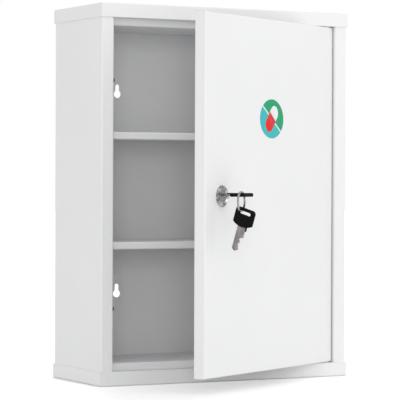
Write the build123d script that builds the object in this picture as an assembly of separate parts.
from build123d import *
import os
from math import cos, hypot, radians, sin, sqrt

# Lockable steel wall cabinet for medicines. It stands on its base or hangs on four keyholes.
# Millimetres. X to the right seen from the front, -Y to the front, +Z up.
# Origin at the middle of the underside. The door is drawn ajar, by door_ajar degrees.

# ---- body ----
cabinet_width = 300.0
cabinet_depth = 120.0
cabinet_height = 400.0
sheet = 1.0              # steel sheet of the body, door and shelves
bend = 1.5               # outside radius of a fold
cap_lip = 15.0           # height of the lips of the top and bottom trays
stile_width = 14.0       # frame left and right of the door
stop_width = 7.5         # flange on the lock side that the door and the cam close on
riser_height = 7.5       # step behind the door at the sill and at the head
rear_flange = 12.0       # side panels' flange behind the back panel
weld_flange = 9.0        # flanges that floor and ceiling are welded by
seam_gap = 0.1           # back panel's edge to the inside of the rear fold

# ---- keyholes in the back panel ----
keyhole_spacing_x = 150.0
keyhole_spacing_z = 220.0
keyhole_radius = 4.25    # round part, passes a screw head
keyhole_neck = 4.8       # width of the neck, takes the screw shank
keyhole_rise = 8.35      # round part's centre to the top of the neck's slot

# ---- shelves ----
shelf_heights = {"lower": 150.0, "upper": 266.0}
shelf_setback = 19.0     # body front to the shelf's lip
shelf_lip = 8.0
shelf_hem = 6.0
shelf_gap = 0.25         # shelf to the walls and the back
bracket_leg = 12.0
bracket_drop = 6.0
bracket_gap = 2.0        # bracket's ends to the shelf's folded edges

# ---- door ----
door_thickness = 13.0
door_return = 10.0       # folded edge behind the door
door_end_gap = 1.0       # above and below the door
door_ajar = 30.0
hinge_from_edge = 7.0
hinge_from_face = 5.0
jamb_clearance = 0.98    # hinge edge to the jamb as it swings past
stop_clearance = 0.87    # hinge edge to the plane of the stops as it swings past
stiffener_depth = 9.0
stiffener_width = 20.0
stiffener_flange = 10.0
bumper_radius = 3.0
bumper_contact_gap = 0.1
bumper_spacing = 240.0

# ---- pivots ----
pin_radius = 2.0
pin_head_radius = 3.4
pin_head_height = 1.5
pin_past_bush = 1.0
pivot_clearance = 0.05
bush_wall = 1.0
bush_flange = 0.75
bush_height = 3.0        # above the folded edge it sits on
thrust_washer_radius = 4.5

# ---- cam lock ----
lock_from_edge = 32.0
lock_height = 199.0
collar_radius = 11.0
collar_height = 2.4
collar_rim = 1.6         # width and depth of the bevelled rim
barrel_radius = 8.0
barrel_flat = 7.0        # axis to each flat of the barrel
hole_clearance = 0.1
plug_radius = 5.45
plug_clearance = 0.05
plug_head_radius = 6.5
plug_head_height = 1.0
plug_front = 1.4         # plug's face in front of the door's face
lock_washer_height = 0.6
nut_across_flats = 21.0
nut_height = 3.5
cam_thickness = 2.0
cam_width = 13.0
cam_play = 0.7           # cam to the stop flange when locked
cam_float = 0.1          # cam to the end of the barrel
cam_tip_gap = 2.0        # locked cam's tip to the jamb
cam_square = 6.0
cam_washer_height = 0.6
cam_screw_radius = 1.6
cam_screw_depth = 3.0
cam_screw_head_radius = 3.5
cam_screw_head_height = 2.2
wafer_count = 4
wafer_pitch = 2.6
wafer_thickness = 0.9
wafer_width = 8.0
wafer_below = 2.8
wafer_above = 3.3
wafer_clearance = 0.05

# ---- keys: u across, v from the shoulder out to the head, blade towards -v ----
key_rise = 1.6           # keyway above the lock's axis
key_play = 0.3           # key's shoulder to the plug's face
blade_thickness = 2.0
blade_width = 6.5
shoulder_width = 8.9
blade_length = 14.7
tang_end = 21.4          # blade's end inside the head
keyway_clearance = 0.1
groove_width = 1.6
groove_depth = 0.5
bitting_pitch = 2.6
bitting_depths = (1.7, 0.9, 2.2, 1.3)
head_width = 22.6
head_outer = 29.4
head_side = 13.8         # where the head's sides end
head_inner = 10.1        # lowest point of the head's round end
head_neck_end = 6.8      # rib behind the blade, past the head's round end
head_neck_width = 10.6
head_thickness = 3.8
head_corner = 3.5
head_edge = 0.9          # bevel of the head's edges
slot_length = 13.4
slot_width = 3.3
slot_from_outer = 4.8

# ---- ring and spare key ----
ring_inner_radius = 9.1
ring_wire = 1.4          # radial height of the flat wire
ring_turn = 0.9          # axial thickness of one of its two turns
ring_split = 0.4
ring_slack = 0.4         # ring to the bevelled bar of the head it hangs on
ring_turned = 11.0       # about the upright, from parallel with the door
spare_slack = 0.15       # ring's corners to the slot's end in the spare key
spare_tilt = 17.0

# ---- emblem on the door ----
emblem_width = 49.0
emblem_height = 41.0
emblem_thickness = 0.2
emblem_from_middle = -1.0
emblem_centre_height = 280.0

# ---- planes and places that follow ----
mid_height = cabinet_height / 2
body_x = cabinet_width / 2 - sheet
body_y = cabinet_depth / 2 - sheet
inner_x = body_x - sheet
back_y = body_y - 2 * sheet
opening_x = body_x - stile_width
floor_z = cap_lip + riser_height
inner_bend = bend - sheet

front_corner_swing = hypot(hinge_from_edge - bend, hinge_from_face - bend) + bend
rear_corner_swing = hypot(hinge_from_edge, door_thickness - hinge_from_face)
door_side_gap = front_corner_swing - hinge_from_edge + jamb_clearance
door_x = opening_x - door_side_gap
door_front = -body_y
door_rear = door_front + door_thickness
door_low = cap_lip + door_end_gap
door_high = cabinet_height - door_low
hinge_x = door_x - hinge_from_edge
hinge_y = door_front + hinge_from_face
stop_y = hinge_y + rear_corner_swing + stop_clearance

lock_x = -door_x + lock_from_edge
cam_front = door_front - stop_y - sheet - cam_play      # along the lock's axis, outwards +
barrel_end = cam_front + cam_float
cam_reach = lock_from_edge + door_side_gap - cam_tip_gap
key_stop = plug_front + key_play
key_shift = (shoulder_width - blade_width) / 2
keyway_end = key_stop - blade_length - key_play


def block(x, y, z):
    """A box between pairs of limits."""
    sizes = [high - low for low, high in (x, y, z)]
    middle = [(high + low) / 2 for low, high in (x, y, z)]
    return Pos(*middle) * Box(*sizes)


def disc(radius, low, high, x=0.0, y=0.0):
    """An upright cylinder between two heights."""
    return Pos(x, y, (low + high) / 2) * Cylinder(radius, high - low)


def folded(points, length, plane):
    """Sheet folded along an outline, with its thickness to the left, run out square to it."""
    line = FilletPolyline(*points, radius=bend)
    return extrude(plane * make_face(offset(line, amount=sheet, side=Side.LEFT)), amount=length)


def at_top(shape):
    """The same piece at the other end of the cabinet."""
    return mirror(shape, about=Plane.XY.offset(mid_height))


def on_door(shape):
    """From the closed door to the door ajar."""
    return shape.rotate(Axis((hinge_x, hinge_y, 0), (0, 0, 1)), door_ajar)


lock_plane = Plane(origin=(lock_x, door_front, lock_height), x_dir=(1, 0, 0), z_dir=(0, -1, 0))


def at_lock(shape):
    """From the lock's own frame, +Z outwards along its axis and +Y up, to the door ajar."""
    return on_door(lock_plane * shape)


# ---- body ----
def cap():
    size = (cabinet_width, cabinet_depth, cap_lip)
    tray = Box(*size, align=(Align.CENTER, Align.CENTER, Align.MIN))
    tray = fillet(tray.edges().group_by(Axis.Z)[0], bend)
    return tray - block((-body_x, body_x), (-body_y, body_y), (sheet, cap_lip + 1))


def side_panel(has_stop):
    points = [
        (-body_x + rear_flange, body_y),
        (-body_x, body_y),
        (-body_x, -body_y),
        (-opening_x, -body_y),
        (-opening_x, stop_y),
    ]
    if has_stop:
        points.append((-opening_x + stop_width, stop_y))
    panel = Pos(0, 0, sheet) * folded(points, cabinet_height - 2 * sheet, Plane.XY)
    if has_stop:
        notch = block((-opening_x, -opening_x + 2 * stop_width), (stop_y - bend, 0), (0, floor_z))
        panel = panel - notch - at_top(notch)
    return panel


def keyhole():
    shape = Circle(keyhole_radius) + Pos(0, keyhole_rise / 2) * Rectangle(keyhole_neck, keyhole_rise)
    shape += Pos(0, keyhole_rise) * Circle(keyhole_neck / 2)
    return extrude(Plane.XZ * shape, amount=2 * sheet, both=True)


def back_panel():
    half = inner_x - inner_bend - seam_gap
    panel = block((-half, half), (back_y, back_y + sheet), (sheet, cabinet_height - sheet))
    for x in (-keyhole_spacing_x / 2, keyhole_spacing_x / 2):
        for z in (mid_height - keyhole_spacing_z / 2, mid_height + keyhole_spacing_z / 2):
            panel -= Pos(x, back_y, z) * keyhole()
    return panel


def floor_panel():
    """Sill behind the tray's lip, the step that the door closes on, and the floor."""
    points = [
        (back_y, floor_z - weld_flange),
        (back_y, floor_z),
        (stop_y, floor_z),
        (stop_y, cap_lip),
        (-body_y, cap_lip),
        (-body_y, cap_lip - weld_flange),
    ]
    panel = Pos(-inner_x, 0, 0) * folded(points, 2 * inner_x, Plane.YZ)
    flange_z = (floor_z - weld_flange, floor_z - sheet / 2)
    flange_y = (stop_y + sheet, back_y - sheet)
    for side in (-1, 1):
        edges = sorted((side * opening_x, side * (body_x + sheet)))
        panel -= block(edges, (-body_y - sheet, stop_y + sheet), (0, floor_z + sheet))
        flange = sorted((side * (inner_x - sheet), side * inner_x))
        panel += block(flange, flange_y, flange_z)
    return panel - disc(pin_radius, 0, cap_lip + sheet, hinge_x, hinge_y)


def shelf(height):
    front = -body_y + shelf_setback
    rear = back_y - shelf_gap
    half = inner_x - shelf_gap
    points = [
        (rear, height - shelf_lip),
        (rear, height),
        (front, height),
        (front, height - shelf_lip),
        (front + shelf_hem, height - shelf_lip),
    ]
    return Pos(-half, 0, 0) * folded(points, 2 * half, Plane.YZ)


def shelf_bracket(height):
    """Left angle, welded to the side panel under the shelf's sheet."""
    top = height - sheet
    front = -body_y + shelf_setback + shelf_hem + bracket_gap
    rear = back_y - shelf_gap - sheet - bracket_gap
    points = [
        (-inner_x + bracket_leg, top),
        (-inner_x, top),
        (-inner_x, top - bracket_drop),
    ]
    return Pos(0, rear, 0) * folded(points, rear - front, Plane.XZ)


def door_bumpers():
    """Rubber buttons on the stop flange, one above and one below the lock."""
    height = stop_y - door_rear - bumper_contact_gap
    x = -opening_x + (stop_width + sheet) / 2
    button = Pos(0, 0, height / 2) * Cylinder(bumper_radius, height)
    buttons = []
    for z in (mid_height - bumper_spacing / 2, mid_height + bumper_spacing / 2):
        buttons.append(Plane(origin=(x, stop_y, z), z_dir=(0, -1, 0)) * button)
    return Compound(children=buttons)


# ---- pivots ----
def pivot_pin():
    low = cap_lip - sheet - pin_head_height
    high = door_low + sheet + bush_height + pin_past_bush
    pin = disc(pin_radius, low, high, hinge_x, hinge_y)
    return pin + disc(pin_head_radius, low, cap_lip - sheet, hinge_x, hinge_y)


def thrust_washer():
    ring = disc(thrust_washer_radius, cap_lip, door_low, hinge_x, hinge_y)
    return ring - disc(pin_radius + pivot_clearance, 0, door_low + 1, hinge_x, hinge_y)


def pivot_bush():
    outer = pin_radius + pivot_clearance + bush_wall
    seat = door_low + sheet
    bush = disc(outer, door_low, seat, hinge_x, hinge_y)
    bush += disc(outer + bush_flange, seat, seat + bush_height, hinge_x, hinge_y)
    return bush - disc(pin_radius + pivot_clearance, 0, door_high, hinge_x, hinge_y)


# ---- door ----
def barrel_section(margin):
    """The lock barrel's outline: a circle with two flats."""
    flats = Rectangle(4 * barrel_radius, 2 * (barrel_flat + margin))
    return Circle(barrel_radius + margin) & flats


def door_panel():
    """Pan with folded edges and returns, open at the back."""
    pan = block((-door_x, door_x), (door_front, door_rear), (door_low, door_high))
    for end in (0, -1):
        pan = fillet(pan.edges().group_by(Axis.Y)[end], bend)
    inside = (-door_x + sheet, door_x - sheet)
    mouth = (-door_x + door_return, door_x - door_return)
    pan -= block(inside, (door_front + sheet, door_rear - sheet), (door_low + sheet, door_high - sheet))
    pan -= block(mouth, (door_rear - 2 * sheet, door_rear + sheet),
                 (door_low + door_return, door_high - door_return))
    bush_hole = disc(pin_radius + pivot_clearance + bush_wall, 0, door_low + 2 * sheet, hinge_x, hinge_y)
    pan = pan - bush_hole - at_top(bush_hole)
    lock_hole = extrude(barrel_section(hole_clearance), amount=2 * sheet, both=True)
    return on_door(pan - lock_plane * lock_hole)


def door_stiffener():
    """Hat section down the middle of the door, welded inside its face."""
    seat = door_front + sheet
    half = stiffener_width / 2
    crest = seat + stiffener_depth - sheet
    points = [
        (-half - stiffener_flange, seat),
        (-half, seat),
        (-half, crest),
        (half, crest),
        (half, seat),
        (half + stiffener_flange, seat),
    ]
    low = door_low + 2 * door_return
    return on_door(Pos(0, 0, low) * folded(points, cabinet_height - 2 * low, Plane.XY))


def door_emblem():
    centre = (emblem_from_middle, door_front, emblem_centre_height)
    place = Plane(origin=centre, x_dir=(1, 0, 0), z_dir=(0, -1, 0))
    oval = Ellipse(emblem_width / 2, emblem_height / 2)
    return on_door(extrude(place * oval, amount=emblem_thickness))


# ---- lock, in its own frame ----
def lock_housing():
    bore = plug_radius + plug_clearance
    counterbore = plug_head_radius + plug_clearance
    rim = collar_radius - collar_rim
    seat = plug_front - plug_head_height
    outline = Polyline(
        (rim, collar_height),
        (counterbore, plug_front),
        (counterbore, seat),
        (bore, seat),
        (bore, barrel_end),
        (barrel_radius, barrel_end),
        (barrel_radius, 0),
        (collar_radius, 0),
        (collar_radius, collar_height - collar_rim),
        close=True,
    )
    housing = revolve(Plane.XZ * make_face(outline), axis=Axis.Z)
    for side in (-1, 1):
        flat = sorted((side * barrel_flat, side * 2 * barrel_radius))
        housing -= block((-collar_radius, collar_radius), flat, (barrel_end - 1, 0))
    return at_lock(housing)


def lock_washer():
    low = -sheet - lock_washer_height
    return at_lock(disc(collar_radius, low, -sheet) - disc(barrel_radius, low - 1, 0))


def lock_nut():
    low = -sheet - lock_washer_height - nut_height
    nut = Pos(0, 0, low) * extrude(RegularPolygon(nut_across_flats / 2, 6, major_radius=False),
                                   amount=nut_height)
    return at_lock(nut - disc(barrel_radius, low - 1, 0))


def wafer_places():
    """Heights along the axis of the lock's wafers."""
    first = plug_front - plug_head_height - wafer_pitch / 2
    return [first - wafer_pitch * step for step in range(wafer_count)]


def wafer(z, margin):
    half = wafer_width / 2 + margin
    thick = wafer_thickness / 2 + margin
    return block((-half, half), (-wafer_below - margin, wafer_above + margin), (z - thick, z + thick))


def keyway():
    half = blade_width / 2 + keyway_clearance
    high = blade_thickness / 2 + keyway_clearance
    return block((-half, half), (key_rise - high, key_rise + high), (keyway_end, plug_front + 1))


def plug():
    """The whole plug: head, core with its slots, square for the cam and hole for its screw."""
    seat = plug_front - plug_head_height
    core = disc(plug_radius, cam_front, seat) + disc(plug_head_radius, seat, plug_front)
    stub = cam_square / 2
    core += block((-stub, stub), (-stub, stub), (cam_front - cam_thickness, cam_front + 1))
    core -= disc(cam_screw_radius, cam_front - cam_thickness - 1, cam_front + cam_screw_depth)
    for z in wafer_places():
        core -= wafer(z, wafer_clearance)
    return core - keyway()


def beside_keyway(side):
    """The room in front of the keyway's end that lies above it, for side 1, or below it, for -1."""
    edge = key_rise + side * (blade_thickness / 2 + keyway_clearance)
    heights = sorted((edge, side * 2 * plug_head_radius))
    return block((-plug_head_radius, plug_head_radius), heights, (keyway_end, plug_front))


def plug_half(side):
    """The casting above or below the keyway, a node of its own so that the slot stays open."""
    return at_lock(plug() & beside_keyway(side))


def lock_plug():
    """The rest of the casting: its rear, the square and the walls at the keyway's ends."""
    return at_lock(plug() - beside_keyway(1) - beside_keyway(-1))


def lock_wafers():
    return Compound(children=[at_lock(wafer(z, 0) - keyway()) for z in wafer_places()])


def lock_cam():
    """Arm with a round tip. It points down when unlocked."""
    half = cam_width / 2
    arm = Circle(half) + Pos(0, (half - cam_reach) / 2) * Rectangle(cam_width, cam_reach - half)
    arm += Pos(0, half - cam_reach) * Circle(half)
    arm -= Rectangle(cam_square, cam_square)
    return at_lock(Pos(0, 0, cam_front - cam_thickness) * extrude(arm, amount=cam_thickness))


def cam_washer():
    high = cam_front - cam_thickness
    low = high - cam_washer_height
    return at_lock(disc(cam_width / 2 - sheet, low, high) - disc(cam_screw_radius, low - 1, high + 1))


def cam_screw():
    seat = cam_front - cam_thickness - cam_washer_height
    screw = disc(cam_screw_head_radius, seat - cam_screw_head_height, seat)
    recess = cam_screw_head_radius / 4
    screw += disc(cam_screw_radius, seat - 1, cam_front + cam_screw_depth)
    for long, short in ((3, 1), (1, 3)):
        screw -= Pos(0, 0, seat - cam_screw_head_height) * Box(long * recess, short * recess, 2 * recess)
    return at_lock(screw)


# ---- keys, in their own frame: X across, Y out to the head, Z through the blade ----
def key_blade():
    left = -shoulder_width / 2
    right = left + blade_width
    tip = -blade_length
    point = blade_width / 3
    outline = Polyline(
        (left, tang_end),
        (left, tip + point),
        (left + point, tip),
        (right - point, tip),
        (right, tip + point),
        (right, 0),
        (-left, 0),
        (-left, tang_end),
        close=True,
    )
    shape = make_face(outline)
    for step, depth in enumerate(bitting_depths):
        v = -bitting_pitch * (step + 1)
        cut = Polyline((right - depth, v - bitting_pitch / 8), (right + 1, v - bitting_pitch / 2 - 1),
                       (right + 1, v + bitting_pitch / 2 + 1), (right - depth, v + bitting_pitch / 8),
                       close=True)
        shape -= make_face(cut)
    blade = extrude(shape, amount=blade_thickness / 2, both=True)
    groove_u = left + blade_width / 3
    groove_z = blade_thickness / 2
    return blade - block((groove_u - groove_width / 2, groove_u + groove_width / 2),
                         (tip - 1, head_neck_end - 1), (groove_z - groove_depth, groove_z + 1))


def key_head():
    half = head_width / 2
    outline = Polyline((-half, head_side), (-half, head_outer), (half, head_outer), (half, head_side))
    outline += ThreePointArc((half, head_side), (0, head_inner), (-half, head_side))
    shape = make_face(outline)
    outer = shape.vertices().group_by(Axis.Y)[-1]
    shape = fillet(outer, head_corner)
    shape -= Pos(0, head_outer - slot_from_outer) * SlotOverall(slot_length, slot_width)
    head = extrude(shape, amount=head_thickness / 2, both=True)
    flat = head.faces().filter_by(Axis.Z)
    head = chamfer(flat.edges(), head_edge)
    rib = block((-head_neck_width / 2, head_neck_width / 2), (head_neck_end, head_side),
                (-head_thickness / 2, -blade_thickness / 2))
    slab = shoulder_width / 2
    tang = block((-slab, slab), (head_neck_end - 1, tang_end), (-blade_thickness / 2, blade_thickness / 2))
    return head + rib - tang


def in_lock(shape):
    """A key in the keyway, lying flat."""
    place = Plane(origin=(key_shift, key_rise, key_stop), x_dir=(1, 0, 0), z_dir=(0, -1, 0))
    return at_lock(place * shape)


# The ring goes through the slot and round the bar beside it.
ring_radius = ring_inner_radius + ring_wire / 2
bar_half = (head_width - slot_length) / 4
bar_u = head_width / 2 - bar_half
ring_drop = sqrt((ring_inner_radius - ring_slack) ** 2 - (bar_half - head_edge) ** 2)
slot_out = key_stop + head_outer - slot_from_outer
ring_in_slot = sqrt(ring_radius ** 2 - (ring_drop - head_thickness / 2) ** 2)
ring_out = slot_out + sin(radians(ring_turned)) * ring_in_slot
ring_centre = (key_shift - bar_u, key_rise + head_thickness / 2 - ring_drop, ring_out)


def split_ring():
    """Two turns of flat wire, each with its end showing as a split."""
    outer = ring_inner_radius + ring_wire
    turn = disc(outer, 0, ring_turn) - disc(ring_inner_radius, -1, ring_turn + 1)
    turn -= block((0, outer + 1), (-ring_split / 2, ring_split / 2), (0, ring_turn))
    ring = Rot(0, 0, 60) * turn + Rot(180, 0, 95) * turn
    return at_lock(Pos(*ring_centre) * Rot(0, ring_turned, 0) * ring)


def as_spare(shape):
    """A key hung on the ring by one end of its slot, square to the door."""
    tilt = radians(spare_tilt)
    ring_corner = hypot(ring_turn, ring_wire / 2)
    reach = slot_width / 2 - ring_corner - spare_slack
    hang_u = -(slot_length - slot_width) / 2 - reach * sin(tilt)
    hang_v = head_outer - slot_from_outer + reach * cos(tilt)
    x, y, z = ring_centre
    place = Plane(origin=(x, y - ring_radius, z), x_dir=(0, 0, 1), z_dir=(-1, 0, 0))
    return at_lock(place * Rot(0, 0, -spare_tilt) * Pos(-hang_u, -hang_v, 0) * shape)


nodes = {
    "bottom_cap": cap(),
    "top_cap": at_top(cap()),
    "left_side_panel": side_panel(True),
    "right_side_panel": mirror(side_panel(False), about=Plane.YZ),
    "back_panel": back_panel(),
    "floor_panel": floor_panel(),
    "ceiling_panel": at_top(floor_panel()),
    "door_bumpers": door_bumpers(),
    "lower_pivot_pin": pivot_pin(),
    "upper_pivot_pin": at_top(pivot_pin()),
    "lower_thrust_washer": thrust_washer(),
    "upper_thrust_washer": at_top(thrust_washer()),
    "lower_pivot_bush": on_door(pivot_bush()),
    "upper_pivot_bush": on_door(at_top(pivot_bush())),
    "door_panel": door_panel(),
    "door_stiffener": door_stiffener(),
    "door_emblem": door_emblem(),
    "lock_housing": lock_housing(),
    "lock_washer": lock_washer(),
    "lock_nut": lock_nut(),
    "lock_plug": lock_plug(),
    "plug_upper_half": plug_half(1),
    "plug_lower_half": plug_half(-1),
    "lock_wafers": lock_wafers(),
    "lock_cam": lock_cam(),
    "cam_washer": cam_washer(),
    "cam_screw": cam_screw(),
    "key_blade": in_lock(key_blade()),
    "key_head": in_lock(key_head()),
    "split_ring": split_ring(),
    "spare_key_blade": as_spare(key_blade()),
    "spare_key_head": as_spare(key_head()),
}
for level, height in shelf_heights.items():
    nodes[level + "_shelf"] = shelf(height)
    nodes[level + "_left_bracket"] = shelf_bracket(height)
    nodes[level + "_right_bracket"] = mirror(shelf_bracket(height), about=Plane.YZ)

os.makedirs("parts", exist_ok=True)
for name, shape in nodes.items():
    export_step(shape, "parts/" + name + ".step")
